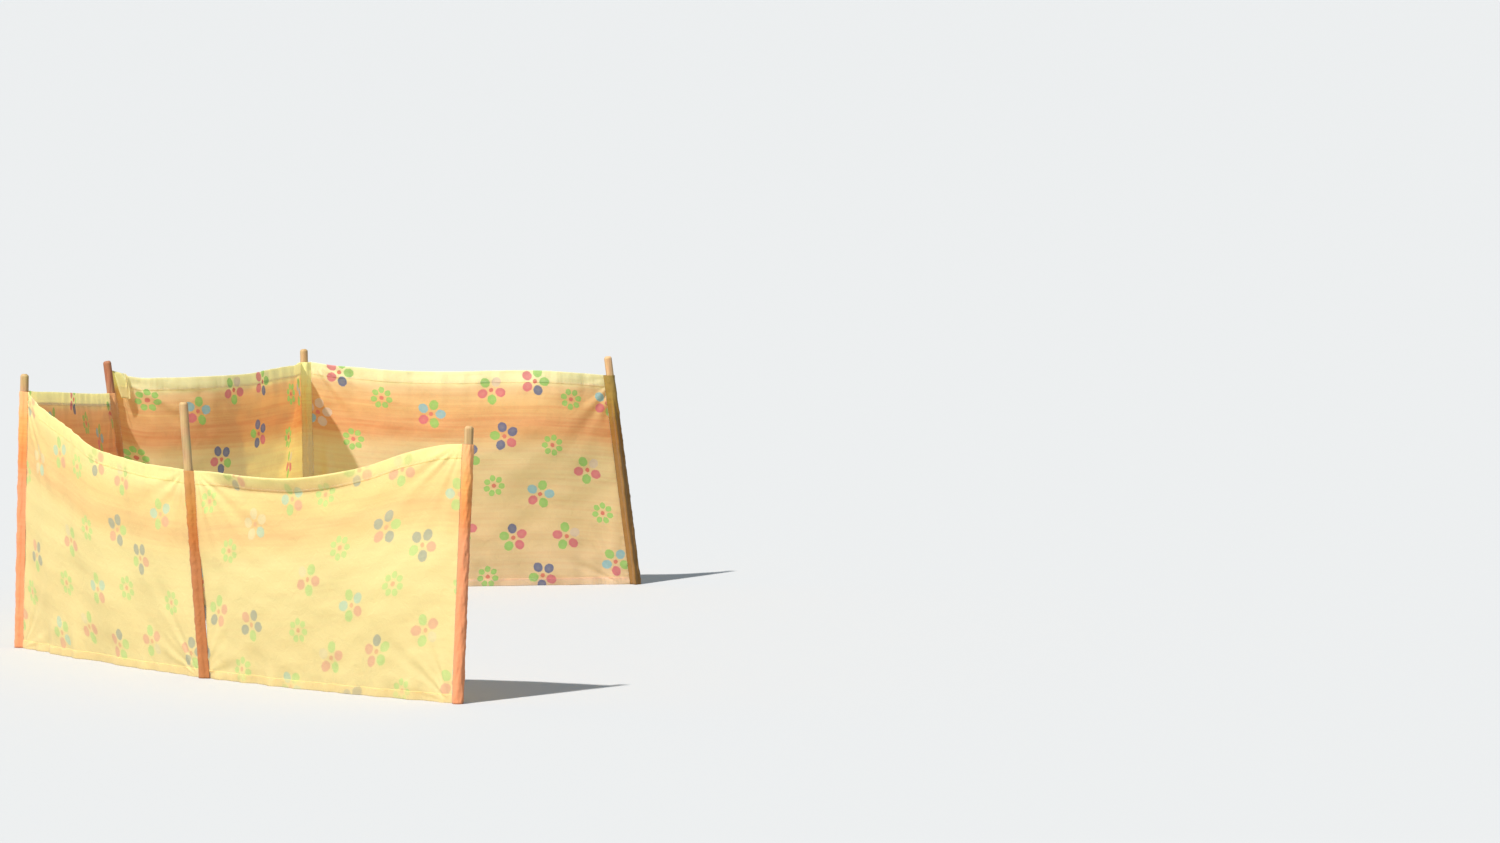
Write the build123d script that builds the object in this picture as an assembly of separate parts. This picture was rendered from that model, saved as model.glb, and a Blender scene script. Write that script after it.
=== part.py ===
from build123d import *
import os
from math import cos, radians, sin, tan

# Beach windbreak: five bays of hemmed cloth with a sewn pocket on each of six round wooden poles,
# set out in the sand as a bent row round a sheltered space that stays open on one side.
# The row runs from pole 1, the free end in front, round the left to pole 6 at the back right.
# Millimetres and degrees. The sand is at z = 0, and the origin is on the foot of pole 1.

# Poles: turned dowels, driven in by hand, each to its own depth and with its own lean
# to the left, which is -X. Their heights are upright ones, over the sand.
pole_diameter = 25.0
pole_end_round = 7.0
pole_heights = [757.0, 780.0, 808.0, 788.0, 775.0, 744.0]
pole_leans = [-2.5, 4.0, -1.5, 7.0, 1.0, 7.2]

# Layout on the sand: how far apart neighbouring feet are, and the way that each bay runs.
foot_spacings = [995.0, 1048.0, 1040.0, 1008.0, 1068.0]
bay_bearings = [138.5, 126.0, 75.5, 62.5, 7.0]

# Cloth edge: its height on each pole, then where each bay is lowest and how far it sags there.
cloth_heights = [703.0, 586.0, 757.0, 688.0, 732.0, 680.0]
low_points = [0.62, 0.50, 0.50, 0.50, 0.40]
sags = [48.0, 52.0, 3.0, 2.0, 12.0]

# Belly that the wind gives each bay, away from the sheltered side where it is positive: all of
# it at half the tallest pole's height, and a share of it at the sand and at that pole's end.
bellies = [52.0, 40.0, -24.0, -145.0, -42.0]
belly_share_at_sand = 0.35
belly_share_at_top = 0.6

# Cloth: one layer in the panels, two in the hems and in the flaps beside the pockets.
cloth_thickness = 1.2
hem_thickness = 2.4
top_hem_height = 38.0
bottom_hem_height = 24.0

# Pockets: loose on the pole, and stitched to the panels at this distance from its axis.
pocket_slack = 0.3
pocket_wall = 1.6
seam_distance = 22.0

pole_radius = pole_diameter / 2
bore_radius = pole_radius + pocket_slack
pocket_radius = bore_radius + pocket_wall
bay_count = len(foot_spacings)
pole_count = bay_count + 1
full_height = max(pole_heights)
spare = 2 * pole_diameter
reach = 2 * full_height


def pole_feet():
    """Each pole's foot on the sand, walked bay by bay from the origin."""
    feet = [Vector(0, 0, 0)]
    for bearing, spacing in zip(bay_bearings, foot_spacings):
        direction = Vector(cos(radians(bearing)), sin(radians(bearing)), 0)
        feet.append(feet[-1] + direction * spacing)
    return feet


feet = pole_feet()


def axis_point(pole, height):
    """The point of a leaning pole's axis at a height."""
    return feet[pole] + Vector(-height * tan(radians(pole_leans[pole])), 0, height)


def in_bay(bay):
    """The bay's own frame: X from its first foot to its second, Z up, Y out of the shelter."""
    return Location(feet[bay], (0, 0, bay_bearings[bay]))


def axis_x(bay, pole, height):
    """How far along the bay a pole's axis is, at a height."""
    bearing = radians(bay_bearings[bay])
    offset = axis_point(pole, height) - feet[bay]
    return offset.X * cos(bearing) + offset.Y * sin(bearing)


def seam_x(bay, pole, height):
    """How far along the bay the stitched edge of a pole's pocket is, at a height."""
    inward = seam_distance if pole == bay else -seam_distance
    return axis_x(bay, pole, height) + inward


def under_cloth_edge(bay, drop):
    """Side view of all that is below the bay's sagging top edge, lowered by a drop."""
    first_z = cloth_heights[bay]
    last_z = cloth_heights[bay + 1]
    first_x = axis_x(bay, bay, first_z)
    last_x = axis_x(bay, bay + 1, last_z)
    share = low_points[bay]
    low_x = first_x + (last_x - first_x) * share
    low_z = first_z + (last_z - first_z) * share - sags[bay]
    edge = Spline((first_x, first_z - drop), (low_x, low_z - drop), (last_x, last_z - drop))
    rest = Polyline(
        (last_x, last_z - drop),
        (last_x + spare, last_z - drop),
        (last_x + spare, 0),
        (first_x - spare, 0),
        (first_x - spare, first_z - drop),
        (first_x, first_z - drop),
    )
    return make_face(edge + rest)


def upright_strip(left_x, right_x):
    """Side view of the strip between two lines, each given by its place along the bay."""
    low_left, low_right = (left_x(0), 0), (right_x(0), 0)
    high_left, high_right = (left_x(full_height), full_height), (right_x(full_height), full_height)
    return make_face(Polyline(low_left, low_right, high_right, high_left, close=True))


def between_seams(bay):
    """Side view of the stretch between the pockets' stitched edges."""
    return upright_strip(
        lambda height: seam_x(bay, bay, height),
        lambda height: seam_x(bay, bay + 1, height),
    )


def beside_pole(bay, pole):
    """Side view of the strip from just past a pole's axis to the stitched edge of its pocket."""
    past = -pole_radius if pole == bay else pole_radius
    return upright_strip(
        lambda height: axis_x(bay, pole, height) + past,
        lambda height: seam_x(bay, pole, height),
    )


def bottom_strip(bay):
    """Side view of the bottom hem, and of the same strip past the poles."""
    middle = foot_spacings[bay] / 2
    return Pos(middle, bottom_hem_height / 2) * Rectangle(reach, bottom_hem_height)


def cloth_line(bay, height, belly, thickness):
    """Plan of the bay's cloth at a height: a thin arc from pole axis to pole axis."""
    start, end = axis_point(bay, height), axis_point(bay + 1, height)
    chord = (end - start).length
    half = thickness / 2
    outside = ThreePointArc((0, half), (chord / 2, belly + half), (chord, half))
    inside = ThreePointArc((0, -half), (chord / 2, belly - half), (chord, -half))
    ends = Line((0, -half), (0, half)) + Line((chord, -half), (chord, half))
    return Plane(origin=start, x_dir=end - start, z_dir=(0, 0, 1)) * make_face(outside + inside + ends)


def cloth_wall(bay, thickness):
    """The bay's cloth as a wall that bellies out most at mid height, from axis to axis."""
    belly = bellies[bay]
    levels = [
        (0.0, belly * belly_share_at_sand),
        (full_height / 2, belly),
        (full_height, belly * belly_share_at_top),
    ]
    return loft([cloth_line(bay, height, swell, thickness) for height, swell in levels])


def cut_from_wall(bay, thickness, side_view):
    """The piece of the bay's cloth that a side view outlines, in place in the row."""
    block = extrude(Plane.XZ * side_view, reach / 2, both=True)
    return cloth_wall(bay, thickness) & (in_bay(bay) * block)


def cloth_panel(bay):
    """The single cloth between the hems and the pockets."""
    middle = under_cloth_edge(bay, top_hem_height) - bottom_strip(bay)
    return cut_from_wall(bay, cloth_thickness, middle & between_seams(bay))


def top_hem(bay):
    """The doubled strip that follows the sagging top edge."""
    strip = under_cloth_edge(bay, 0) - under_cloth_edge(bay, top_hem_height)
    return cut_from_wall(bay, hem_thickness, strip & between_seams(bay))


def bottom_hem(bay):
    """The doubled strip along the sand."""
    return cut_from_wall(bay, hem_thickness, bottom_strip(bay) & between_seams(bay))


def on_pole(pole, radius, height, end_round=0.0):
    """A round bar on a pole's axis, leaning with it, cut level at the sand, up to a height."""
    lean = pole_leans[pole]
    length = height / cos(radians(lean)) + spare
    bar = Pos(0, 0, length / 2 - spare) * Cylinder(radius, length)
    if end_round:
        bar = fillet(bar.edges().group_by(Axis.Z)[-1], end_round)
    above_sand = Pos(0, 0, reach / 2) * Box(reach, reach, reach)
    return Location(feet[pole]) * (Rot(0, -lean, 0) * bar & above_sand)


def pole(index):
    """A round wooden pole, its top end rounded over."""
    return on_pole(index, pole_radius, pole_heights[index], pole_end_round)


def pocket(index):
    """The sewn cloth tube on a pole, with a doubled flap to each panel that it is stitched to."""
    body = on_pole(index, pocket_radius, cloth_heights[index])
    for bay in (index - 1, index):
        if 0 <= bay < bay_count:
            flap = under_cloth_edge(bay, 0) & beside_pole(bay, index)
            body = body + cut_from_wall(bay, hem_thickness, flap)
    return body - on_pole(index, bore_radius, full_height)


os.makedirs("parts", exist_ok=True)
for index in range(pole_count):
    export_step(pole(index), f"parts/pole_{index + 1}.step")
    export_step(pocket(index), f"parts/pole_pocket_{index + 1}.step")
for bay in range(bay_count):
    export_step(cloth_panel(bay), f"parts/cloth_panel_{bay + 1}.step")
    export_step(top_hem(bay), f"parts/top_hem_{bay + 1}.step")
    export_step(bottom_hem(bay), f"parts/bottom_hem_{bay + 1}.step")
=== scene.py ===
import math

import bpy
import numpy as np
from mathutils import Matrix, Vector


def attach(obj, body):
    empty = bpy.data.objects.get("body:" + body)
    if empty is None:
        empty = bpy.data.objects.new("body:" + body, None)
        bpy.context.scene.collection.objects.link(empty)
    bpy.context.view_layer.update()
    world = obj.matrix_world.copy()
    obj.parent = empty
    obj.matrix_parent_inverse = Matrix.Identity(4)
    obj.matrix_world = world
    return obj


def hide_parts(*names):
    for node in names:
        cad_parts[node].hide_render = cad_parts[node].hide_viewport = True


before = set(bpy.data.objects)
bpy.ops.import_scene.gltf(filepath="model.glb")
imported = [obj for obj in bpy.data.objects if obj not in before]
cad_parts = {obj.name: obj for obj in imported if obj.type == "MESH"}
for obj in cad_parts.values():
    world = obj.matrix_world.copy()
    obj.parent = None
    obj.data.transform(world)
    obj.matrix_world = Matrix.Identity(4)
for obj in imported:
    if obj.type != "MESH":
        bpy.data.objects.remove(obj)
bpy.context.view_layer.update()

# Camera: 1.95 m above the ground and some eighteen metres in front of the row, looking a little
# down through a long lens, so that the near bays hardly look bigger than the far ones.
eye_point = (0.794, -17.582, 1.95)
degrees_down = 3.842
camera_data = bpy.data.cameras.new("long_lens")
camera_data.sensor_width = 36.0
camera_data.lens = 156.0
camera_data.clip_end = 4000.0
camera = bpy.data.objects.new("long_lens", camera_data)
camera.location = eye_point
camera.rotation_euler = (math.radians(90 - degrees_down), 0, 0)
bpy.context.scene.collection.objects.link(camera)
bpy.context.scene.camera = camera


# Ground and daylight: a plain pale floor, a sun from the left in front, and a pale sky. The sun is
# some fifty degrees high, so it shines through the left of the row and onto the inside of its back.
ground_half = 1200.0
ground_colour = (0.46, 0.45, 0.435, 1)
to_sun = (-0.413, -0.492, 0.766)
sky_colour = (0.72, 0.86, 1, 1)


def plug(tree, socket, value):
    """Links what a node gives to a socket, or sets a plain value there."""
    if isinstance(value, bpy.types.NodeSocket):
        tree.links.new(value, socket)
    else:
        socket.default_value = value


def set_inputs(tree, node, **inputs):
    """Sets a node's inputs by name, with low lines in place of spaces."""
    for name, value in inputs.items():
        plug(tree, node.inputs[name.replace("_", " ")], value)


def new_material(name, **surface_inputs):
    """A material, its node tree, and its surface node with these inputs."""
    material = bpy.data.materials.new(name)
    material.use_nodes = True
    tree = material.node_tree
    surface = tree.nodes["Principled BSDF"]
    set_inputs(tree, surface, **surface_inputs)
    return material, tree, surface


def pale_ground():
    """A flat square, far wider than the view."""
    turns = ((-1, -1), (1, -1), (1, 1), (-1, 1))
    mesh = bpy.data.meshes.new("ground")
    mesh.from_pydata([(x * ground_half, y * ground_half, 0) for x, y in turns], [], [(0, 1, 2, 3)])
    ground = bpy.data.objects.new("ground", mesh)
    bpy.context.scene.collection.objects.link(ground)
    floor = new_material(
        "pale_ground", Base_Color=ground_colour, Roughness=0.95, Specular_IOR_Level=0.1)[0]
    mesh.materials.append(floor)


pale_ground()
sun_data = bpy.data.lights.new("sun", "SUN")
sun_data.energy = 6.0
sun_data.angle = math.radians(1.6)
sun = bpy.data.objects.new("sun", sun_data)
sun.rotation_euler = Vector(to_sun).to_track_quat("Z", "Y").to_euler()
bpy.context.scene.collection.objects.link(sun)
sky = bpy.data.worlds.new("sky")
sky.use_nodes = True
set_inputs(sky.node_tree, sky.node_tree.nodes["Background"], Color=sky_colour, Strength=0.55)
bpy.context.scene.world = sky
bpy.context.scene.view_settings.view_transform = "Standard"


# Poles: six turned wooden dowels, 25 mm thick, rounded over at the top and driven into the ground
# by hand, so each stands at its own height and lean. Bare wood, gone brown, one of them redder.
pole_radius = 0.0125
pole_heights = [0.757, 0.780, 0.808, 0.788, 0.775, 0.744]
pole_leans = np.radians([-2.5, 4.0, -1.5, 7.0, 1.0, 7.2])
foot_spacings = [0.995, 1.048, 1.040, 1.008, 1.068]
bay_bearings = np.radians([138.5, 126.0, 75.5, 62.5, 7.0])
end_round = 0.008
end_ring_radii = [0.0020, 0.0003]
thickness_share = 0.012
dent_depth = 0.0008
dent_reach = 0.010
foot_reach = 0.020


def pole_feet():
    """Each pole's foot, walked bay by bay from the origin."""
    steps = [(d * math.cos(a), d * math.sin(a)) for d, a in zip(foot_spacings, bay_bearings)]
    return np.vstack([[0, 0], np.cumsum(steps, axis=0)])


feet = pole_feet()


def pole_axis(pole, height):
    """Points on a leaning pole's axis: its foot, moved left by the height times the lean's tangent."""
    height = np.asarray(height, float)
    x = feet[pole, 0] - height * math.tan(pole_leans[pole])
    return np.stack([x, np.full_like(height, feet[pole, 1]), height], -1)


def waves(first, second, first_wave, second_wave, seed):
    """Smooth unevenness, about -1 to 1: nine plane waves with seeded ways, lengths and phases are
    added, and divided by 4. The two wave lengths are those along the first and second value."""
    dice = np.random.default_rng(seed)
    total = 0
    for _ in range(9):
        way = dice.uniform(0, 2 * math.pi)
        stretch = dice.uniform(0.6, 1.5)
        phase = dice.uniform(0, 2 * math.pi)
        run = first / first_wave * math.cos(way) + second / second_wave * math.sin(way)
        total = total + np.sin(2 * math.pi * run / stretch + phase)
    return total / 4.0


def add_piece(name, points, faces):
    """A smooth-shaded mesh of points and faces, which rides on the part's one body."""
    mesh = bpy.data.meshes.new(name)
    mesh.from_pydata(points.reshape(-1, 3).tolist(), [], faces)
    mesh.polygons.foreach_set("use_smooth", [True] * len(faces))
    piece = bpy.data.objects.new(name, mesh)
    bpy.context.scene.collection.objects.link(piece)
    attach(piece, "root")
    return piece


def skin(name, points, ends):
    """A piece from rings of points, one row of the grid each, with quads between neighbours. Its
    two ends are capped with a face each, or joined to each other, or, on a flat ring, zipped up by
    quads between its first half and its second."""
    rows, columns = points.shape[:2]
    rings = np.arange(rows * columns).reshape(rows, columns)
    grid = np.hstack([rings, rings[:, :1]])
    if ends == "joined":
        grid = np.vstack([grid, grid[:1]])
    quads = np.stack([grid[:-1, :-1], grid[:-1, 1:], grid[1:, 1:], grid[1:, :-1]], -1)
    faces = quads.reshape(-1, 4).tolist()
    if ends == "capped":
        faces += [rings[0, ::-1].tolist(), rings[-1].tolist()]
    if ends == "zipped":
        for ring, order in ((rings[0], 1), (rings[-1], -1)):
            there, back = ring[: columns // 2], ring[columns // 2 :][::-1]
            zip_quads = np.stack([there[:-1], back[:-1], back[1:], there[1:]], -1)
            faces += zip_quads[:, ::order].tolist()
    return add_piece(name, points, faces)


def dowel(pole):
    """A circle carried up the leaning axis and closed over the rounded top. It swells and wanders by
    fractions of a millimetre, and knocks have dented its end. Its foot is turned level."""
    lean = pole_leans[pole]
    length = pole_heights[pole] / math.cos(lean)
    rows, end_rows, ring_points = 90, 11, 40
    straight = np.linspace(0, length - end_round, rows)
    turn = np.linspace(0, math.pi / 2, end_rows + 1)[1:]
    along = np.concatenate([straight, length - end_round + end_round * np.sin(turn), [length, length]])
    rounded = pole_radius - end_round * (1 - np.cos(turn))
    radius = np.concatenate([np.full(rows, pole_radius), rounded, end_ring_radii])
    angle = np.linspace(0, 2 * math.pi, ring_points, endpoint=False)
    up, round_it = np.meshgrid(along, angle, indexing="ij")
    uneven = waves(np.cos(round_it) * 0.02, up, 0.05, 0.11, 70 + pole)
    wide = radius[:, None] * (1 + thickness_share * uneven)
    x, y = wide * np.cos(round_it), wide * np.sin(round_it)
    near_end = np.clip((up - length + dent_reach) / dent_reach, 0, 1)
    up = up + dent_depth * near_end * waves(x, y, 0.014, 0.014, 80 + pole)
    over_foot = np.clip(up / foot_reach, 0, 1)
    points = np.stack([
        feet[pole, 0] + x * math.cos(lean) - up * math.sin(lean),
        feet[pole, 1] + y,
        up * math.cos(lean) + x * math.sin(lean) * over_foot,
    ], -1)
    return skin(f"dowel_{pole + 1}", points, ends="capped")


def add_node(tree, kind, **inputs):
    """A new node of a kind, with these inputs."""
    node = tree.nodes.new(kind)
    set_inputs(tree, node, **inputs)
    return node


def blend(tree, share, first, second, way="MIX"):
    """The first colour with a share of the second mixed in, or laid over it in another way."""
    mix = tree.nodes.new("ShaderNodeMix")
    mix.data_type = "RGBA"
    mix.blend_type = way
    plug(tree, mix.inputs["Factor"], share)
    for name, colour in (("A", first), ("B", second)):
        plug(tree, mix.inputs[name], colour if isinstance(colour, bpy.types.NodeSocket) else (*colour, 1))
    return mix.outputs["Result"]


def ramp(tree, value, stops, steps=False):
    """The colour that belongs to a value: stops are (value, colour), joined smoothly or as steps."""
    table = tree.nodes.new("ShaderNodeValToRGB")
    table.color_ramp.interpolation = "CONSTANT" if steps else "LINEAR"
    while len(table.color_ramp.elements) < len(stops):
        table.color_ramp.elements.new(0.5)
    for element, (at, colour) in zip(table.color_ramp.elements, stops):
        element.position = at
        element.color = (*colour, 1)
    plug(tree, table.inputs["Fac"], value)
    return table.outputs["Color"]


def drawn_noise(tree, place, density, **inputs):
    """A noise with its own density along each axis, so that it is drawn out along the thin one."""
    drawn = add_node(tree, "ShaderNodeMapping", Vector=place, Scale=density)
    return add_node(tree, "ShaderNodeTexNoise", Vector=drawn.outputs["Vector"], Scale=1.0, **inputs)


def dowel_wood(name, pale, dark):
    """Bare wood: a noise drawn out along the pole gives a grain of two browns, raised a little, and
    a second one darkens it in blotches."""
    material, tree, surface = new_material(name, Roughness=0.62, Specular_IOR_Level=0.35)
    place = tree.nodes.new("ShaderNodeTexCoord").outputs["Object"]
    grain = drawn_noise(tree, place, (150, 150, 5), Detail=5.0, Roughness=0.6).outputs["Fac"]
    tone = ramp(tree, grain, [(0.32, dark), (0.62, pale)])
    blotch = add_node(tree, "ShaderNodeTexNoise", Vector=place, Scale=22.0, Detail=3.0)
    worn = blend(tree, 0.35, tone, blotch.outputs["Color"], "MULTIPLY")
    bump = add_node(tree, "ShaderNodeBump", Strength=0.35, Distance=0.0006, Height=grain)
    set_inputs(tree, surface, Base_Color=worn, Normal=bump.outputs["Normal"])
    return material


honey_wood = dowel_wood("honey_wood", (0.72, 0.46, 0.22), (0.46, 0.26, 0.11))
pale_wood = dowel_wood("pale_wood", (0.60, 0.38, 0.17), (0.42, 0.25, 0.10))
red_wood = dowel_wood("red_wood", (0.50, 0.20, 0.09), (0.28, 0.09, 0.04))
for pole, wood in enumerate((pale_wood, pale_wood, pale_wood, red_wood, pale_wood, honey_wood)):
    piece = dowel(pole)
    piece.data.materials.append(wood)
    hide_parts(f"pole_{pole + 1}")


# Cloth panels: thin printed cotton, one length from pole to pole, held at its two sides by the
# seams of the pockets and along the bottom by the ground. It is cut a little wide, so it bellies in
# the wind, sags between the poles, and creases from its corners.
bay_count = 5
seam_distance = 0.022
panel_thickness = 0.0008
panel_under_top_edge = 0.030
panel_over_ground = 0.018
panel_steps_along = 176
panel_steps_down = 121

# The top edge of each bay: its height at shares of the way from the bay's first pole to its last.
edge_heights = [
    [(0, 0.706), (0.06, 0.701), (0.13, 0.687), (0.21, 0.667), (0.29, 0.640), (0.39, 0.615), (0.48, 0.599),
     (0.59, 0.587), (0.73, 0.585), (0.86, 0.588), (1, 0.586)],
    [(0, 0.586), (0.17, 0.591), (0.29, 0.599), (0.41, 0.608), (0.50, 0.621), (0.60, 0.648), (0.68, 0.669),
     (0.76, 0.689), (0.84, 0.710), (0.93, 0.733), (1, 0.755)],
    [(0, 0.757), (0.07, 0.750), (0.29, 0.735), (0.52, 0.718), (0.80, 0.699), (1, 0.688)],
    [(0, 0.752), (0.025, 0.742), (0.06, 0.733), (0.13, 0.730), (0.29, 0.729), (0.47, 0.729), (0.58, 0.733),
     (0.70, 0.737), (0.82, 0.736), (1, 0.732)],
    [(0, 0.732), (0.08, 0.720), (0.16, 0.714), (0.24, 0.707), (0.31, 0.703), (0.47, 0.700), (0.63, 0.703),
     (0.79, 0.702), (0.87, 0.696), (1, 0.682)],
]

# How far each bay stands out of the straight line between its poles, in millimetres, and into the
# shelter where it is negative, at nine even stations from its first pole to its last. The rows are
# the ground, a third up, two thirds up, and the belly's top. The fourth bay is the slackest.
belly_top = 0.70
bellies = [
    [[0, 8, 15, 20, 21, 19, 14, 8, 0], [0, 22, 38, 47, 50, 46, 37, 21, 0],
     [0, 21, 37, 46, 49, 45, 36, 20, 0], [0, 14, 25, 33, 36, 34, 26, 14, 0]],
    [[0, 5, 10, 14, 15, 14, 11, 6, 0], [0, 15, 26, 34, 37, 35, 28, 16, 0],
     [0, 14, 25, 33, 38, 37, 30, 17, 0], [0, 8, 16, 23, 27, 28, 23, 13, 0]],
    [[0, -4, -7, -9, -10, -9, -7, -4, 0], [0, -9, -16, -20, -22, -21, -17, -10, 0],
     [0, -10, -17, -22, -24, -23, -19, -11, 0], [0, -6, -11, -14, -16, -16, -13, -8, 0]],
    [[0, -14, -26, -34, -40, -42, -42, -42, -42], [0, -52, -90, -110, -116, -112, -104, -96, -88],
     [0, -80, -134, -156, -156, -144, -126, -112, -102], [0, -88, -150, -176, -178, -162, -140, -124, -112]],
    [[0, -4, -7, -10, -10, -8, -4, -2, 0], [0, -14, -25, -34, -38, -36, -28, -16, 0],
     [0, -17, -34, -51, -66, -76, -76, -54, 0], [0, -12, -26, -42, -56, -68, -72, -54, 0]],
]

# Small folds, each kind with its depth, its spacing along and down the cloth, and how fast it dies
# away from what makes it: flutes hang from the top edge, puckers and gathers stand at the seams,
# and buckles where the ground holds the cloth. The creases out of the corners and each bay's slow
# unevenness have a depth alone.
flutes = (0.0026, 0.060, 0.60, 0.10)
puckers = (0.0010, 0.20, 0.030, 0.018)
gathers = (0.0006, 0.20, 0.022, 0.012)
buckles = (0.0060, 0.085, 0.25, 0.07)
corner_depths = {"first_top": 0.0042, "last_top": 0.0038, "bottom": 0.0040}
slow_depths = [0.0050, 0.0050, 0.0050, 0.0025, 0.0050]

# The turned-down corner beside pole 4: the shares of the bay where it is all turned down and where
# it ends, its height, the radius that it is turned over, and how far it leans in for each metre.
corner_whole, corner_end = 0.016, 0.034
corner_height = 0.095
corner_radius = 0.006
corner_lean = 0.2


def cubic(t, first, last, first_slope, last_slope):
    """The cubic that goes from one value to another, with given slopes there, as t goes 0 to 1."""
    return ((2 * t**3 - 3 * t**2 + 1) * first + (t**3 - 2 * t**2 + t) * first_slope
            + (3 * t**2 - 2 * t**3) * last + (t**3 - t**2) * last_slope)


def smooth_step(value, start, end):
    """0 before the start, 1 past the end, and a smooth rise between them."""
    t = np.clip((value - start) / (end - start), 0, 1)
    return t * t * (3 - 2 * t)


def through(stations, values, where):
    """A smooth line through values at stations: cubic pieces whose slopes come from the neighbours."""
    stations, values = np.asarray(stations, float), np.asarray(values, float)
    slopes = np.gradient(values, stations)
    left = np.clip(np.searchsorted(stations, where, side="right") - 1, 0, len(stations) - 2)
    gap = stations[left + 1] - stations[left]
    t = (where - stations[left]) / gap
    return cubic(t, values[left], values[left + 1], gap * slopes[left], gap * slopes[left + 1])


def edge_height(bay, share):
    """How high the top edge is at a share of the way between the two poles."""
    stations, heights = zip(*edge_heights[bay])
    return through(stations, heights, share)


def turned_down(bay, share):
    """How much of the top edge is turned down into the shelter: only the corner beside pole 4, where
    it falls smoothly from all of it to none over two fingers' width."""
    if bay != 3:
        return np.zeros_like(share)
    return corner_height * smooth_step(share, corner_end, corner_whole)


def full_height(bay, share):
    """The cloth's height with a turned-down edge opened out."""
    return edge_height(bay, share) + turned_down(bay, share)


def belly(bay, share, height):
    """The bay's set-out in metres: smooth along each of its four rows, and smooth between the rows."""
    rows = np.stack([through(np.linspace(0, 1, len(row)), row, share) / 1000 for row in bellies[bay]])
    slopes = np.gradient(rows, axis=0)
    gaps = len(rows) - 1
    level = np.clip(height / belly_top * gaps, 0, gaps)
    low = np.clip(np.floor(level), 0, gaps - 1).astype(int)

    def at(table, row):
        """Each point's value from its own row."""
        return np.take_along_axis(table, row[None], 0)[0]

    return cubic(level - low, at(rows, low), at(rows, low + 1), at(slopes, low), at(slopes, low + 1))


def corner_creases(x, y, seed):
    """Creases that fan out of a corner, x and y being the distances from its two sides: a coarse and
    a finer wave over the angle round it, none along the sides. They deepen over the first 50 mm and
    die away over 200 mm."""
    dice = np.random.default_rng(seed)
    away = np.hypot(x, y) + 1e-6
    angle = np.arctan2(y, x)
    coarse = np.sin(angle * dice.uniform(13, 17) + dice.uniform(0, 6))
    fine = np.sin(angle * dice.uniform(22, 27) + dice.uniform(0, 6))
    fan = np.clip(np.sin(2 * angle), 0, 1) ** 0.7
    return (coarse + 0.6 * fine) * fan * away / (away + 0.05) * np.exp(-away / 0.20)


def folds(kind, along, below, away, seed):
    """One kind of small fold: waves of its depth and spacings, dying away with the distance."""
    depth, spacing_along, spacing_down, reach = kind
    return depth * waves(along, below, spacing_along, spacing_down, seed) * np.exp(-away / reach)


def creases(bay, along, below, tall):
    """All small folds, outward in metres: creases out of the corners, the kinds listed above, and a
    slow unevenness. Every bay counts as one metre wide here, and nothing moves at the seams apart
    from the gathers."""
    seed = 100 * (bay + 1)
    to_last, over_ground = 1.0 - along, tall - below
    side = np.minimum(along, to_last)
    out = corner_depths["first_top"] * corner_creases(along, below, seed)
    out = out + corner_depths["last_top"] * corner_creases(to_last, below, seed + 1)
    out = out + corner_depths["bottom"] * corner_creases(along, over_ground, seed + 2)
    out = out + corner_depths["bottom"] * corner_creases(to_last, over_ground, seed + 3)
    out = out + folds(flutes, along, below, below, seed + 4)
    out = out + folds(puckers, along, below, side, seed + 5)
    out = out + folds(buckles, along, below, over_ground, seed + 6)
    out = out + slow_depths[bay] * waves(along, below, 0.30, 0.34, seed + 7)
    out = out + 0.0012 * waves(along, below, 0.16, 0.07, seed + 9)
    out = out * np.clip(side / 0.03, 0, 1) ** 0.8
    return out + folds(gathers, along, below, side, seed + 8)


def leaning_hem(share, below):
    """Bay 1: between two shares of the bay the top hem leans out, by 0.6 of the height over a line
    42 mm below the edge."""
    loose = smooth_step(share, 0.31, 0.46) * (1 - smooth_step(share, 0.85, 0.98))
    return 0.60 * loose * np.clip(0.042 - below, 0, None)


def straight_run_in(out, to_go, height):
    """Bay 4: the belly ends at a straight line from the last pole, which leaves it by 0.3 of the way
    to go up to 0.3 m high, and by 0.6 of it from 0.6 m up. The cloth is at the smaller of the two,
    with 8 mm of rounding where they meet in a crease."""
    line = (0.30 + 0.30 * np.clip((height - 0.30) / 0.30, 0, 1)) * to_go
    return -0.5 * (line - out - np.sqrt((out + line) ** 2 + 0.008**2))


def fold_beside_seam(along, height):
    """Bay 5: a fold 45 mm from the first seam, 16 mm deep, that stands into the shelter. It is whole
    up to 0.3 m and gone at 0.5 m."""
    across = np.exp(-(((along - 0.045) / 0.016) ** 2))
    return -0.016 * across * np.clip((0.50 - height) / 0.2, 0, 1)


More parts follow.
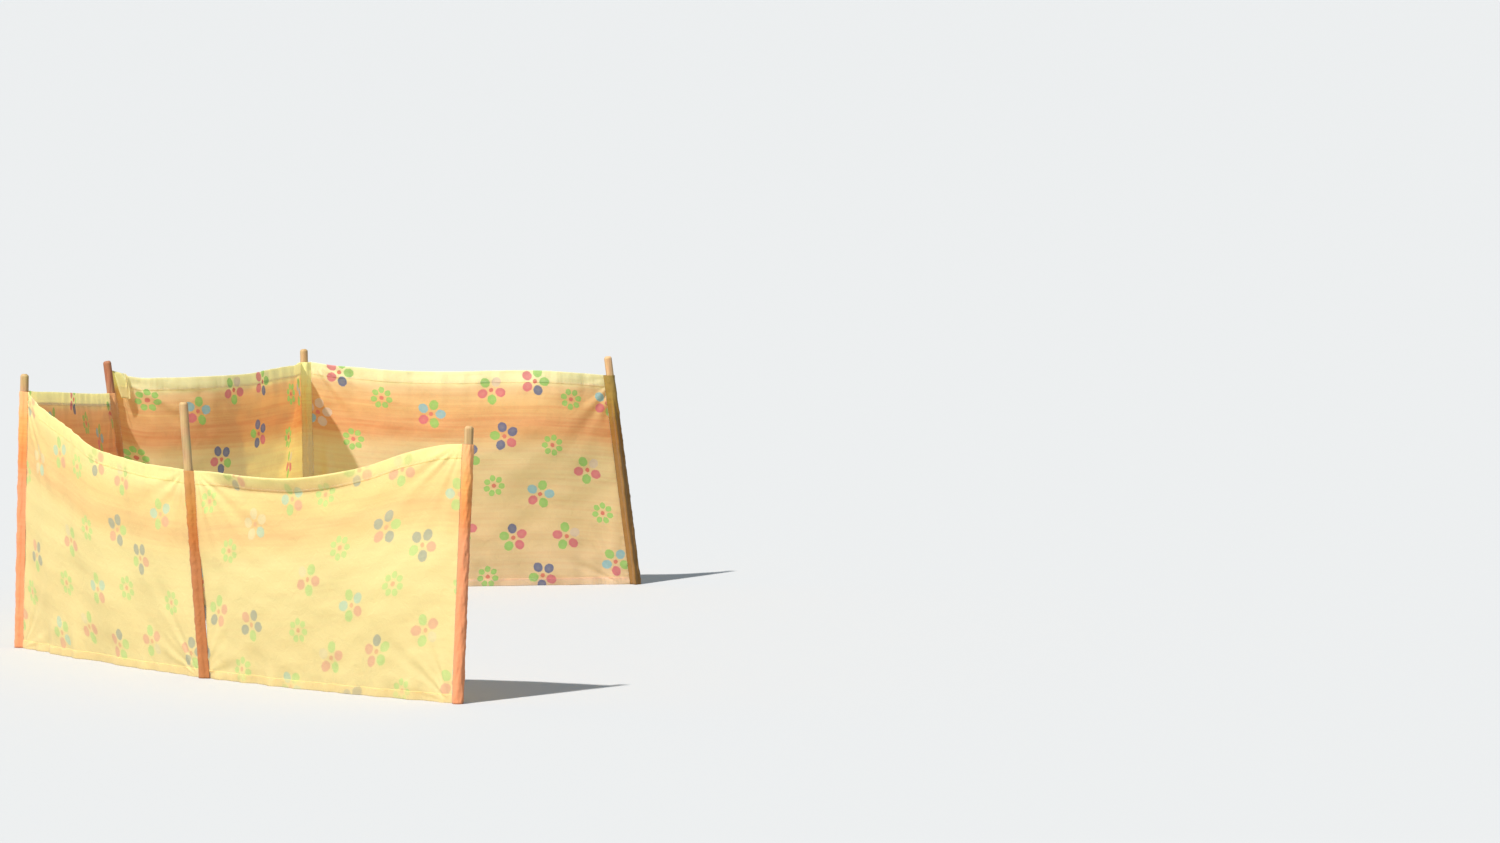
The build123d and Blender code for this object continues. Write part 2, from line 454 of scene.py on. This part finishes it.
def cloth(bay, share, down):
    """Points of a bay's cloth: share goes from its first seam to its last, and down from its top
    edge (0) to the ground (1). Each is on the line between the two leaning poles at its height,
    moved out of it by the bay's belly and creases. What is over the edge turns down into the
    shelter. It gives the points, and how far along and below the print's edge they are."""
    edge = edge_height(bay, share)
    full = full_height(bay, share)
    up = full * (1 - down)
    below = full - up
    over = np.clip(up - edge, 0, None)
    turn = np.clip(over / corner_radius, 0, math.pi)
    hang = np.clip(over - corner_radius * math.pi, 0, None)
    height = np.minimum(up, edge) + corner_radius * np.sin(turn) - hang
    first, last = pole_axis(bay, height), pole_axis(bay + 1, height)
    line = (last - first)[..., :2]
    length = np.linalg.norm(line, axis=-1)
    way = line / length[..., None]
    outward = np.stack([-way[..., 1], way[..., 0]], -1)
    width = length - 2 * seam_distance
    along = share * width
    shift = np.zeros_like(along)
    out = belly(bay, share, height)
    if bay == 0:
        out = out + leaning_hem(share, below)
    if bay == 3:
        out = straight_run_in(out, width - along, height)
        out = out - corner_radius * (1 - np.cos(turn)) - corner_lean * hang
        # From about 0.7 m up, the cloth beside the pole is drawn 9 mm toward it.
        drawn_to_pole = 0.009 * np.exp(-((along / 0.015) ** 2)) * smooth_step(up, 0.685, 0.71)
        shift = corner_lean * hang * np.clip(along / 0.030, 0, 1) - drawn_to_pole
    if bay == 4:
        out = out + fold_beside_seam(along, height)
    out = out + creases(bay, along, below, full)
    aside = (seam_distance + along + shift)[..., None]
    place = first[..., :2] + way * aside + outward * out[..., None]
    points = np.concatenate([place, height[..., None]], -1)
    rise = print_rises[bay] * np.sin(math.pi * share)
    return points, along + seam_distance + print_starts[bay], np.clip(edge - up, 0, None) + rise


def close_at_ends(count):
    """Stations from 0 to 1, at the two ends half as far apart as if they were even."""
    t = np.linspace(0, 1, count)
    return t - 0.08 * np.sin(2 * math.pi * t)


def facing(bay, share, down):
    """The cloth's own direction out of the shelter: across its two grid directions, each taken
    between two near points of the cloth."""
    share_step, down_step = 0.002, 0.004
    after = cloth(bay, np.clip(share + share_step, 0, 1), down)[0]
    before = cloth(bay, np.clip(share - share_step, 0, 1), down)[0]
    above = cloth(bay, share, np.clip(down - down_step, 0, 1))[0]
    under = cloth(bay, share, np.clip(down + down_step, 0, 1))[0]
    normal = np.cross(above - under, after - before)
    return normal / np.linalg.norm(normal, axis=-1, keepdims=True)


# The print: a cream hem zone, apricot to orange with thin streaks, then straw, with scattered
# flowers in green, light blue, pink and navy. The design repeats along the cloth. Each bay starts at
# its own place in it, and the first bay's print is a little higher in the middle of the bay.
design_repeat = 1.09
print_starts = [0.38, 0.249, 0.708, 0.11, 0.0]
print_rises = [0.034, 0.0, 0.0, 0.0, 0.0]

# Each flower: its middle along the design and below the top edge, in metres, then its kind (0 is the
# green daisy, and 1 to 6 have five petals in the inks below) and its turn in degrees. The fourth
# bay has its own list, because its flowers stand differently.
flowers = [
    (0.112, 0.019, 2, -18), (0.246, 0.090, 0, 0), (0.404, 0.136, 1, -18), (0.599, 0.061, 4, 39),
    (0.741, 0.034, 2, -18), (0.859, 0.087, 0, 20), (0.982, 0.090, 1, -18), (0.041, 0.158, 6, 207),
    (0.153, 0.232, 0, 15), (0.515, 0.275, 5, 30), (0.638, 0.211, 3, 12), (0.794, 0.240, 0, 40),
    (0.911, 0.316, 4, 30), (0.380, 0.385, 0, 30), (0.603, 0.372, 0, 10), (0.754, 0.403, 1, -15),
    (0.215, 0.400, 2, 10), (0.960, 0.455, 0, 0), (0.065, 0.440, 3, 100), (0.115, 0.565, 0, 60),
    (0.300, 0.520, 3, 80), (0.500, 0.510, 4, 200), (0.665, 0.545, 2, 150), (0.840, 0.540, 4, 10),
    (1.000, 0.612, 1, 40), (0.200, 0.660, 4, 0), (0.400, 0.650, 1, 90), (0.580, 0.670, 0, 0),
    (0.760, 0.670, 3, 30),
]
fourth_bay_flowers = [
    (0.214, 0.068, 0, 0), (0.362, 0.106, 1, -12), (0.515, 0.046, 4, 39), (0.673, 0.031, 2, -18),
    (0.879, 0.088, 0, 20), (1.010, 0.090, 1, -18), (0.644, 0.194, 3, 12), (0.855, 0.226, 0, 40),
    (0.447, 0.262, 5, 30), (0.165, 0.254, 0, 15),
] + [flower for flower in flowers if flower[1] > 0.3 and flower[0] > 0.12]
designs = [flowers, flowers, flowers, fourth_bay_flowers, flowers]

# The print's colours, as 0 to 255 values: bands at shares of the band depth below the edge, on the
# cloth's surface and in the light that comes through it, how strong the streaks are at such shares,
# the hearts, and the inks of the petals, one by one.
band_depth = 0.8
surface_bands = [
    (0.0, (252, 253, 216)), (0.045, (252, 250, 210)), (0.065, (251, 246, 198)), (0.10, (250, 243, 180)),
    (0.15, (248, 233, 164)), (0.20, (244, 216, 156)), (0.245, (240, 208, 152)), (0.285, (237, 212, 174)),
    (0.33, (235, 213, 190)), (0.45, (235, 213, 190)), (0.62, (237, 211, 186)), (0.80, (237, 215, 192)),
    (1.0, (237, 208, 184)),
]
lit_bands = [
    (0.0, (255, 244, 185)), (0.045, (255, 238, 174)), (0.065, (251, 192, 114)), (0.10, (246, 172, 90)),
    (0.20, (242, 163, 84)), (0.245, (243, 174, 92)), (0.29, (249, 214, 135)), (0.34, (252, 230, 152)),
    (0.62, (251, 226, 148)), (1.0, (251, 220, 143)),
]
streaky_bands = [(0.06, 0.1), (0.12, 0.55), (0.24, 0.9), (0.30, 0.25), (0.6, 0.2)]
surface_streak, lit_streak = (230, 152, 96), (228, 120, 60)
surface_heart, lit_heart = (236, 164, 140), (234, 130, 106)
daisy_ink = (170, 220, 126)
petal_middle_ink = (250, 236, 200)
green, blue, pink = (166, 216, 124), (158, 208, 226), (232, 126, 148)
navy, pale = (106, 120, 172), (234, 214, 200)
petal_inks = [
    [green, blue, green, pink, blue],
    [green, green, navy, pink, pink],
    [navy, navy, pink, navy, green],
    [green, pale, pink, green, pink],
    [navy, navy, green, navy, pink],
    [pale, blue, pale, pale, pale],
]

# The flowers' sizes in metres: how far the petals' middles are from the flower's, and their radii.
daisy_petals, daisy_reach, daisy_petal_radius = 7, 0.0250, 0.0108
ink_petals, ink_reach, ink_petal_radius = 5, 0.0305, 0.0170
petal_squash = 1.12
heart_scale = 0.02


def read_all(items, field):
    """A whole number from every corner or face of a mesh, as one array."""
    values = np.empty(len(items), int)
    items.foreach_get(field, values)
    return values


def lay_print(piece, place, below, design):
    """Stores the print's place on the cloth (along, below) for every point, and for every corner of
    a face its place on the nearest flower, turned by that flower's turn, with the flower's kind."""
    mesh = piece.data
    spots = np.array(design)
    spots = np.vstack([spots, spots + [design_repeat, 0, 0, 0]])
    flat = np.stack([place.ravel(), below.ravel(), np.zeros(place.size)], -1)
    layer = mesh.attributes.new("print_place", "FLOAT_VECTOR", "POINT")
    layer.data.foreach_set("vector", flat.ravel())
    corners = read_all(mesh.loops, "vertex_index")
    counts = read_all(mesh.polygons, "loop_total")
    face = np.repeat(np.arange(len(counts)), counts)
    middle = np.stack([np.bincount(face, flat[corners, k]) / counts for k in (0, 1)], -1)
    gap = ((middle[:, None] - spots[None, :, :2]) ** 2).sum(-1)
    nearest = spots[gap.argmin(1)]
    off = flat[corners, :2] - nearest[face, :2]
    turn = np.radians(nearest[face, 3])
    local = np.stack([
        off[:, 0] * np.cos(turn) - off[:, 1] * np.sin(turn),
        -off[:, 0] * np.sin(turn) - off[:, 1] * np.cos(turn),
        nearest[face, 2],
    ], -1)
    layer = mesh.attributes.new("flower_place", "FLOAT_VECTOR", "CORNER")
    layer.data.foreach_set("vector", local.ravel())


def srgb(red, green, blue):
    """A colour given as 0 to 255 values, in the linear values that a shader takes."""
    parts = np.array([red, green, blue]) / 255
    return tuple(np.where(parts <= 0.04045, parts / 12.92, ((parts + 0.055) / 1.055) ** 2.4))


def maths(tree, operation, *values):
    """One operation on one, two or three values."""
    node = tree.nodes.new("ShaderNodeMath")
    node.operation = operation
    for socket, value in zip(node.inputs, values):
        plug(tree, socket, value)
    return node.outputs[0]


def distance(tree, x, y):
    """The root of the sum of two squares."""
    squares = maths(tree, "ADD", maths(tree, "MULTIPLY", x, x), maths(tree, "MULTIPLY", y, y))
    return maths(tree, "SQRT", squares)


def stored(tree, name):
    """What the mesh stores under a name."""
    attribute = tree.nodes.new("ShaderNodeAttribute")
    attribute.attribute_name = name
    return attribute.outputs["Vector"]


def bands(tree, place, streak):
    """The ground of the print, on the surface and lit through: a colour ramp over the distance below
    the edge, which a slow noise makes uneven, with thin streaks that are strongest in the orange."""
    below = add_node(tree, "ShaderNodeSeparateXYZ", Vector=place).outputs["Y"]
    cloud = add_node(tree, "ShaderNodeTexNoise", Vector=place, Scale=9.0, Detail=2.0)
    uneven = maths(tree, "MULTIPLY_ADD", cloud.outputs["Fac"], 0.03, -0.015)
    level = maths(tree, "DIVIDE", maths(tree, "ADD", below, uneven), band_depth)
    thin = ramp(tree, streak, [(0.42, (0, 0, 0)), (0.66, (1, 1, 1))])
    zone_stops = [(at, (amount,) * 3) for at, amount in streaky_bands]
    zone = ramp(tree, maths(tree, "DIVIDE", below, band_depth), zone_stops)
    amount = maths(tree, "MULTIPLY", maths(tree, "MULTIPLY", thin, zone), 0.50)
    sides = ((surface_bands, surface_streak), (lit_bands, lit_streak))
    return [
        blend(tree, amount, ramp(tree, level, [(at, srgb(*colour)) for at, colour in stops]), srgb(*dark))
        for stops, dark in sides
    ]


def flower_marks(tree, place):
    """How much petal and how much heart is at a place, and the petal's ink. A flower is a ring of
    round petals: the angle round its middle says which petal, and the distance from that petal's
    middle says in or out, with a noise that roughens the outline."""
    spot = add_node(tree, "ShaderNodeSeparateXYZ", Vector=stored(tree, "flower_place"))
    x, y, kind = spot.outputs
    daisy = maths(tree, "LESS_THAN", kind, 0.5)

    def by_kind(for_daisy, for_others):
        """One value on the daisy and another on the other flowers."""
        return maths(tree, "MULTIPLY_ADD", daisy, for_daisy - for_others, for_others)

    petals = by_kind(daisy_petals, ink_petals)
    away = distance(tree, x, y)
    turns = maths(tree, "ADD", maths(tree, "DIVIDE", maths(tree, "ARCTAN2", x, y), 2 * math.pi), 1.0)
    count = maths(tree, "MULTIPLY", turns, petals)
    which = maths(tree, "FLOOR", maths(tree, "ADD", count, 0.5))
    one_petal = maths(tree, "DIVIDE", 2 * math.pi, petals)
    aside = maths(tree, "MULTIPLY", maths(tree, "SUBTRACT", count, which), one_petal)
    out_from_middle = maths(tree, "MULTIPLY", away, maths(tree, "COSINE", aside))
    ahead = maths(tree, "SUBTRACT", out_from_middle, by_kind(daisy_reach, ink_reach))
    beside = maths(tree, "MULTIPLY", maths(tree, "MULTIPLY", away, maths(tree, "SINE", aside)), petal_squash)
    wobble = add_node(tree, "ShaderNodeTexNoise", Vector=place, Scale=160.0, Detail=2.0)
    rough = maths(tree, "MULTIPLY_ADD", wobble.outputs["Fac"], 0.005, -0.0025)
    petal_away = maths(tree, "ADD", distance(tree, ahead, beside), rough)
    inside = maths(tree, "DIVIDE", petal_away, by_kind(daisy_petal_radius, ink_petal_radius))
    petal = ramp(tree, inside, [(0.90, (1, 1, 1)), (1.0, (0, 0, 0))])
    heart_away = maths(tree, "DIVIDE", maths(tree, "ADD", away, rough), heart_scale)
    heart = ramp(tree, heart_away, [(0.31, (1, 1, 1)), (0.38, (0, 0, 0))])

    number = maths(tree, "ADD", maths(tree, "MODULO", which, petals), 0.5)
    number = maths(tree, "DIVIDE", number, ink_petals)
    ink = srgb(*daisy_ink)
    for index, inks in enumerate(petal_inks):
        stops = [(k / ink_petals, srgb(*colour)) for k, colour in enumerate(inks)]
        this_or_later = maths(tree, "GREATER_THAN", kind, index + 0.5)
        ink = blend(tree, this_or_later, ink, ramp(tree, number, stops, steps=True))
    middle = ramp(tree, inside, [(0.0, (1, 1, 1)), (0.75, (0, 0, 0))])
    ink = blend(tree, maths(tree, "MULTIPLY", middle, 0.12), ink, srgb(*petal_middle_ink))
    return petal, heart, ink


def cloth_bump(tree, place, weave):
    """Rumples of a few millimetres, with the weave's threads on top of them."""
    rumple = add_node(
        tree, "ShaderNodeTexNoise", Vector=place, Scale=34.0, Detail=4.0, Roughness=0.55, Distortion=0.6)
    coarse = add_node(tree, "ShaderNodeBump", Strength=0.5, Distance=0.0035, Height=rumple.outputs["Fac"])
    fine = add_node(
        tree, "ShaderNodeBump", Strength=0.3, Distance=0.0004, Height=weave, Normal=coarse.outputs["Normal"])
    return fine.outputs["Normal"]


def printed_cotton(name, see_through, faded=0.0, bleached=(253, 250, 182), tint_and_painted_light=None):
    """The print on cotton that lets some light through. The surface has one set of colours, and the light
    that shines through has another. Faded mixes in that much of the bleached colour, which makes the plain
    outer face, and a tint multiplies both sets of colours by its three shares. On the third bay's inner face
    and on the second and last pockets that tint is painted shade. On the fifth pocket it is painted light.
    On the other pockets it is their orange."""
    material, tree, surface = new_material(
        name, Roughness=0.82, Specular_IOR_Level=0.25, Sheen_Weight=0.12)
    place = stored(tree, "print_place")
    streak = drawn_noise(tree, place, (2.2, 75.0, 1.0), Detail=3.0, Roughness=0.6).outputs["Fac"]
    surface_ground, lit_ground = bands(tree, place, streak)
    petal, heart, ink = flower_marks(tree, place)
    ink_share = maths(tree, "MULTIPLY", petal, maths(tree, "MULTIPLY_ADD", streak, -0.25, 0.93))
    colours = []
    for ground, heart_colour, bleached_colour in (
        (surface_ground, surface_heart, bleached), (lit_ground, lit_heart, (253, 245, 184)),
    ):
        colour = blend(tree, heart, blend(tree, ink_share, ground, ink), srgb(*heart_colour))
        if faded:
            colour = blend(tree, faded, colour, srgb(*bleached_colour))
        # The tint: painted shade on the third bay's inner face and on the second and last pockets, painted
        # light on the fifth pocket, and plain orange on the other pockets.
        if tint_and_painted_light:
            colour = blend(tree, 1.0, colour, tint_and_painted_light, "MULTIPLY")
        colours.append(colour)
    cloth_colour, lit_colour = colours

    weft = drawn_noise(tree, place, (90.0, 1300.0, 1.0), Detail=1.0)
    warp = drawn_noise(tree, place, (1300.0, 90.0, 1.0), Detail=1.0)
    weave = maths(tree, "ADD", weft.outputs["Fac"], warp.outputs["Fac"])
    shade = maths(tree, "MULTIPLY_ADD", weave, 0.16, 0.84)
    grey = add_node(tree, "ShaderNodeCombineColor", Red=shade, Green=shade, Blue=shade)
    cloth_colour = blend(tree, 1.0, cloth_colour, grey.outputs["Color"], "MULTIPLY")

    normal = cloth_bump(tree, place, weave)
    set_inputs(tree, surface, Base_Color=cloth_colour, Normal=normal)
    glow = add_node(tree, "ShaderNodeBsdfTranslucent", Color=lit_colour, Normal=normal)
    both = tree.nodes.new("ShaderNodeMixShader")
    for socket, value in zip(both.inputs, (see_through, surface.outputs[0], glow.outputs[0])):
        plug(tree, socket, value)
    set_inputs(tree, tree.nodes["Material Output"], Surface=both.outputs[0])
    return material


def two_faces(piece, columns, first, stop, outer_cloth, inner_cloth):
    """The outer cloth on a piece, and the inner cloth on its faces that start at the columns of its
    rings from the first up to the stop."""
    piece.data.materials.append(outer_cloth)
    piece.data.materials.append(inner_cloth)
    starts = read_all(piece.data.polygons, "loop_start")
    column = read_all(piece.data.loops, "vertex_index")[starts] % columns
    piece.data.polygons.foreach_set("material_index", ((column >= first) & (column < stop)).astype(int))


def panel(bay):
    """Two grids 0.8 mm apart, the plain face outwards and the printed face to the shelter, closed
    round their rims. The panel starts inside the top hem and ends inside the bottom one."""
    stations_down = np.linspace(0, 1, panel_steps_down)
    share, down = np.meshgrid(close_at_ends(panel_steps_along), stations_down, indexing="ij")
    start = panel_under_top_edge / full_height(bay, share)
    stop = 1 - panel_over_ground / full_height(bay, share)
    down = start + (stop - start) * down
    points, place, below = cloth(bay, share, down)
    half = panel_thickness / 2 * facing(bay, share, down)
    both = np.hstack([points + half, (points - half)[:, ::-1]])
    piece = skin(f"printed_panel_{bay + 1}", both, ends="zipped")
    lay_print(piece, np.hstack([place, place[:, ::-1]]), np.hstack([below, below[:, ::-1]]), designs[bay])
    return piece


# The third bay's cloth lets less light through, and its inner face is browner. Both are painted shade, for
# the shade that falls on this bay, and not the cloth's own colour. That is a guess: it may be only that
# the bay stands more in the shade.
plain_face = printed_cotton("plain_face", 0.66, faded=0.66)
printed_face = printed_cotton("printed_face", 0.66)
painted_shade_plain_face = printed_cotton("painted_shade_plain_face", 0.52, faded=0.66)
painted_shade_printed_face = printed_cotton("painted_shade_printed_face", 0.52, tint_and_painted_light=(0.86, 0.68, 0.56))
for bay in range(bay_count):
    piece = panel(bay)
    cloths = (painted_shade_plain_face, painted_shade_printed_face) if bay == 2 else (plain_face, printed_face)
    two_faces(piece, 2 * panel_steps_down, panel_steps_down - 1, 2 * panel_steps_down, *cloths)
    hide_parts(f"cloth_panel_{bay + 1}")


# Top and bottom hems: the panel's own edge, folded over twice and stitched flat. The fold is soft
# and round, the stitching pulls it in, and the doubled cloth lets less light through.
hem_height = 0.038
bottom_hem_height = 0.024
hem_half = 0.0014
hem_fold_round = 0.0016
hem_profile = np.array([0, 0.10, 0.22, 0.38, 0.55, 0.72, 0.86, 0.95, 0.985, 1.0])
hem_fold_steps = 5
hem_steps_along = 300


def hem(bay, name, height, at_bottom):
    """A flat tube round the cloth's edge: its profile goes down one face, up the other and round the
    folded edge, thick at the fold, pulled in at the stitches and thin at the far edge, and it
    follows the cloth along."""
    thick_fold = 0.0004 * np.exp(-((hem_profile / 0.16) ** 2))
    stitched_in = 0.0004 * np.exp(-(((hem_profile - 0.86) / 0.07) ** 2))
    swell = hem_half - stitched_in + thick_fold - 0.0009 * hem_profile**80
    turn = np.linspace(-math.pi / 2, math.pi / 2, hem_fold_steps + 2)[1:-1]
    depths = height * hem_profile
    depths = np.concatenate([depths, depths[::-1], -hem_fold_round * np.cos(turn)])
    outs = np.concatenate([swell, -swell[::-1], swell[0] * np.sin(turn)])
    share, depth = np.meshgrid(close_at_ends(hem_steps_along), depths, indexing="ij")
    top = full_height(bay, share)
    down = np.clip(1 - depth / top if at_bottom else depth / top, 0, 1)
    points, place, below = cloth(bay, share, down)
    pucker = 1 + 0.25 * waves(place, below, 0.012, 0.05, 900 + bay)
    points = points + facing(bay, share, down) * (outs * pucker)[..., None]
    past_edge = np.clip(-depth, 0, None)
    points[..., 2] += -past_edge if at_bottom else past_edge
    points[..., 2] = np.clip(points[..., 2], 0, None)
    piece = skin(name, points, ends="capped")
    lay_print(piece, place, below, designs[bay])
    return piece


plain_hem = printed_cotton("plain_hem", 0.60, faded=0.85, bleached=(246, 225, 164))
printed_hem = printed_cotton("printed_hem", 0.60)
hem_ring = 2 * len(hem_profile) + hem_fold_steps
printed_from, printed_to = len(hem_profile), 2 * len(hem_profile) + hem_fold_steps // 2
for bay in range(bay_count):
    top_hem = hem(bay, f"folded_top_hem_{bay + 1}", hem_height, False)
    low_hem = hem(bay, f"folded_bottom_hem_{bay + 1}", bottom_hem_height, True)
    for piece, node in ((top_hem, f"top_hem_{bay + 1}"), (low_hem, f"bottom_hem_{bay + 1}")):
        two_faces(piece, hem_ring, printed_from, printed_to, plain_hem, printed_hem)
        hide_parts(node)


# Pole pockets: the cloth taken round each pole and stitched to itself on both sides of it, so the
# tube is pulled to a point at each seam. It is loose on the dowel and rumpled, open at the top.
cloth_heights = [0.706, 0.586, 0.757, 0.688, 0.732, 0.682]
pocket_radius = 0.0146
pocket_least_radius = 0.0137
pocket_wall = 0.0016
bore_least_radius = 0.0127
flap_radius = 0.0132
flap_past_seam = 0.0012
mouth_lift = 0.0010
far_from_flowers = 10.0
tuck_angle, tuck_width, tuck_depth = 4.62, 0.30, 0.0135


def end_tuck(round_it, height, below):
    """The last pocket's spare cloth: a ridge down its free side, which wanders a little and dies out
    toward the top."""
    ridge = tuck_angle + 0.10 * waves(height, height, 0.35, 0.35, 420)
    tuck = np.exp(-(((round_it - ridge) / tuck_width) ** 2)) * smooth_step(below, 0.04, 0.13)
    return tuck_depth * tuck * (1 - 0.2 * waves(height, height, 0.12, 0.12, 421))


def pocket(pole):
    """A tube round the leaning pole, with the outline of a circle and the two tangents to each seam;
    it goes up the outside, over the rolled mouth and down the inside. The last one has more cloth,
    laid in a tuck down its free side. Its print is the bands alone, far from any flower."""
    rows_outside, rows_over_mouth, rows_inside, ring_points = 120, 6, 12, 80
    outside = np.linspace(0, 1, rows_outside)
    mouth = np.linspace(0, math.pi, rows_over_mouth + 2)[1:-1]
    inside = np.linspace(1, 0, rows_inside)
    level = np.concatenate([outside, np.ones(rows_over_mouth), inside])
    rolled_in = pocket_wall / 2 * (1 - np.cos(mouth))
    wall = np.concatenate([0 * outside, rolled_in, np.full(rows_inside, pocket_wall)])
    lift = np.concatenate([0 * outside, mouth_lift * np.sin(mouth), 0 * inside])
    angle = np.linspace(0, 2 * math.pi, ring_points, endpoint=False)
    level, round_it = np.meshgrid(level, angle, indexing="ij")
    tops = np.full_like(round_it, cloth_heights[pole])
    reach = np.zeros_like(round_it)
    tangent = math.acos(flap_radius / (seam_distance + flap_past_seam))
    for bay in (pole - 1, pole):
        if 0 <= bay < bay_count:
            at_last_pole = bay < pole
            toward = bay_bearings[bay] + math.pi * at_last_pole
            gap = np.abs((round_it - toward + math.pi) % (2 * math.pi) - math.pi)
            pull = flap_radius / np.cos(np.clip(tangent - gap, 0, None))
            reach = np.maximum(reach, np.where(gap < tangent, pull, 0))
            edge = edge_height(bay, np.full_like(round_it, at_last_pole))
            edge = np.minimum(edge, cloth_heights[pole] + 0.004)
            tops = tops + (edge - cloth_heights[pole]) * np.exp(-((gap / 0.9) ** 2))
    height = level * tops
    around = round_it * 0.015
    rumple = 0.0011 * waves(around, height, 0.022, 0.055, 400 + pole)
    rumple = rumple + 0.0007 * waves(around, height, 0.012, 0.018, 410 + pole)
    radius = np.maximum(pocket_radius + rumple, pocket_least_radius)
    radius = np.maximum(radius, reach + 0.25 * rumple)
    if pole == 5:
        radius = radius + end_tuck(round_it, height, tops - height)
    radius = np.maximum(radius - wall[:, None], bore_least_radius)
    lift = np.broadcast_to(lift[:, None], radius.shape)
    off_axis = np.stack([radius * np.cos(round_it), radius * np.sin(round_it), lift], -1)
    piece = skin(f"sewn_pocket_{pole + 1}", pole_axis(pole, height) + off_axis, ends="joined")
    across = seam_distance * np.cos(round_it - bay_bearings[min(pole, bay_count - 1)])
    lay_print(piece, across + far_from_flowers, tops - height, flowers)
    return piece


# The second and last pockets are multiplied darker and browner than the others: painted shade. The fifth is
# yellower and lets little light through, so that it shows brighter in the shade of the fourth bay: painted
# light. The others are tinted orange.
orange_pocket = printed_cotton("orange_pocket", 0.28, tint_and_painted_light=(0.92, 0.48, 0.28))
second_pocket_painted_shade = printed_cotton("second_pocket_painted_shade", 0.28, tint_and_painted_light=(0.60, 0.29, 0.13))
fifth_pocket_painted_light = printed_cotton("fifth_pocket_painted_light", 0.08, tint_and_painted_light=(1.0, 0.92, 0.50))
last_pocket_painted_shade = printed_cotton("last_pocket_painted_shade", 0.25, tint_and_painted_light=(0.36, 0.23, 0.075))
pocket_cloths = [orange_pocket, second_pocket_painted_shade, orange_pocket, orange_pocket, fifth_pocket_painted_light, last_pocket_painted_shade]
for pole, pocket_cloth in enumerate(pocket_cloths):
    piece = pocket(pole)
    piece.data.materials.append(pocket_cloth)
    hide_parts(f"pole_pocket_{pole + 1}")


# Stitching: one row of off-white cotton thread on each hem and down each pocket seam, five and a half
# millimetres a stitch, the same on both faces of the cloth.
stitch_spacing = 0.0055
stitch_margin = 0.004
stitch_half_length, stitch_half_width, stitch_proud = 0.0021, 0.00042, 0.00030
row_under_top_edge = 0.0325
row_over_ground = 0.0195
hem_row_lift = 0.0010
seam_row_lift = 0.0016
seam_row_shares = (0.0015, 0.9985)


def stitch_row(bay, shares, downs, lift):
    """Middles, ways and outward directions of the stitches at even spaces along a line on the cloth,
    lifted off it, for one face and then for the other."""
    points = cloth(bay, shares, downs)[0]
    run = np.concatenate([[0], np.cumsum(np.linalg.norm(np.diff(points, axis=0), axis=1))])
    at = np.arange(stitch_margin, run[-1] - stitch_margin, stitch_spacing)
    share, down = np.interp(at, run, shares), np.interp(at, run, downs)
    middle = cloth(bay, share, down)[0]
    after = np.stack([np.interp(at + 0.001, run, points[:, k]) for k in range(3)], -1)
    before = np.stack([np.interp(at - 0.001, run, points[:, k]) for k in range(3)], -1)
    way = after - before
    way = way / np.linalg.norm(way, axis=1, keepdims=True)
    normal = facing(bay, share, down)
    return [(middle + face * normal * lift, way, face * normal) for face in (1, -1)]


def stitching(bay):
    """All of a bay's stitches: each is a flat bead, three rings of four points from end to end. The
    seam's row starts below what is turned down."""
    fine = np.linspace(0, 1, 600)
    rows = stitch_row(bay, fine, row_under_top_edge / full_height(bay, fine), hem_row_lift)
    rows += stitch_row(bay, fine, 1 - row_over_ground / full_height(bay, fine), hem_row_lift)
    for share in seam_row_shares:
        turned_share = float(turned_down(bay, np.array(share)) / full_height(bay, np.array(share)))
        downs = np.linspace(0.004 + 1.2 * turned_share, 0.99, len(fine))
        rows += stitch_row(bay, np.full(len(fine), share), downs, seam_row_lift)
    middle, way, normal = (np.concatenate([row[k] for row in rows]) for k in range(3))
    side = np.cross(way, normal)
    beads = []
    for at, size in ((-1, 0.35), (0, 1.0), (1, 0.35)):
        ring = middle + way * stitch_half_length * at
        for a, b in ((1, 0), (0, 1), (-1, 0), (0, -1)):
            beads.append(ring + side * stitch_half_width * size * a + normal * stitch_proud * size * b)
    points = np.stack(beads, 1)
    low = np.array([(r * 4 + k, r * 4 + (k + 1) % 4) for r in (0, 1) for k in range(4)])
    bead_quads = np.vstack([np.hstack([low, low[:, ::-1] + 4]), [(3, 2, 1, 0), (8, 9, 10, 11)]])
    faces = np.arange(len(points))[:, None, None] * len(beads) + bead_quads
    return add_piece(f"stitching_{bay + 1}", points, faces.reshape(-1, 4).tolist())


def cotton_thread():
    """Off-white thread with a slow change of tone along it."""
    material, tree, surface = new_material("cotton_thread", Roughness=0.7)
    place = tree.nodes.new("ShaderNodeTexCoord").outputs["Object"]
    tone = add_node(tree, "ShaderNodeTexNoise", Vector=place, Scale=60.0).outputs["Fac"]
    shade = ramp(tree, tone, [(0.0, srgb(226, 204, 158)), (1.0, srgb(250, 240, 214))])
    set_inputs(tree, surface, Base_Color=shade)
    return material


thread = cotton_thread()
for bay in range(bay_count):
    seams = stitching(bay)
    seams.data.materials.append(thread)
